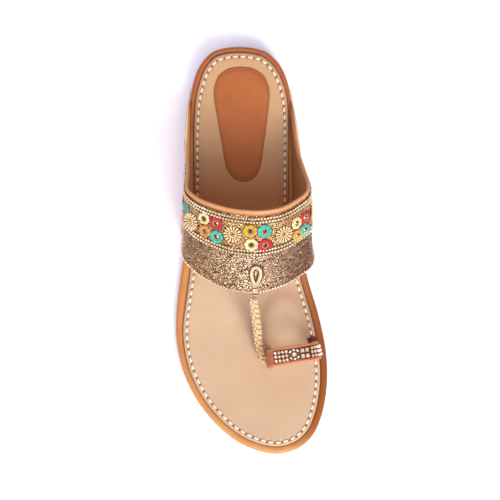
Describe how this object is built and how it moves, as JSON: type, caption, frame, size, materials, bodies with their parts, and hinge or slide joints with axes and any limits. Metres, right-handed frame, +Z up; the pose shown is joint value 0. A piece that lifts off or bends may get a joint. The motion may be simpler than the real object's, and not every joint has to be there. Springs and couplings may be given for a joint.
{
  "type": "kolhapuri chappal",
  "caption": "Flat slip-on sandal for the right foot, with a beaded instep band between side ears, a braided cord and a big-toe ring.",
  "frame": {"origin": "on the floor, at the bottom centre of the shoe's box", "axes": "+Y from toe to heel, +X towards the inner side of the foot, +Z up"},
  "size_m": [0.0951, 0.255, 0.0829],
  "materials": {
    "outsole_rubber": "black matt moulded rubber, light scuffs",
    "rim_leather": "smooth tan leather, rolled edge",
    "sock_leather": "matt beige sock leather",
    "pad_leather": "matt brown leather",
    "strap_leather": "soft creased tan leather",
    "embroidery": "gold thread embroidery on a net ribbon",
    "chain": "small bright stones in gold cups",
    "ring_leather": "terracotta leather",
    "cord_thread": "pale gold braided cord",
    "rivet_steel": "polished domed cap"
  },
  "bodies": {
    "root": {"outsole": "outsole_rubber", "heel_block": "outsole_rubber", "midsole": "rim_leather", "insole": "sock_leather", "heel_pad": "pad_leather", "upper": "strap_leather", "trim_ribbon": "embroidery", "edge_chain": "chain", "toe_ring": "ring_leather", "toe_cord": "cord_thread", "cord_loop": "cord_thread", "rivet_outer": "rivet_steel", "rivet_inner": "rivet_steel"}
  },
  "joints": []
}
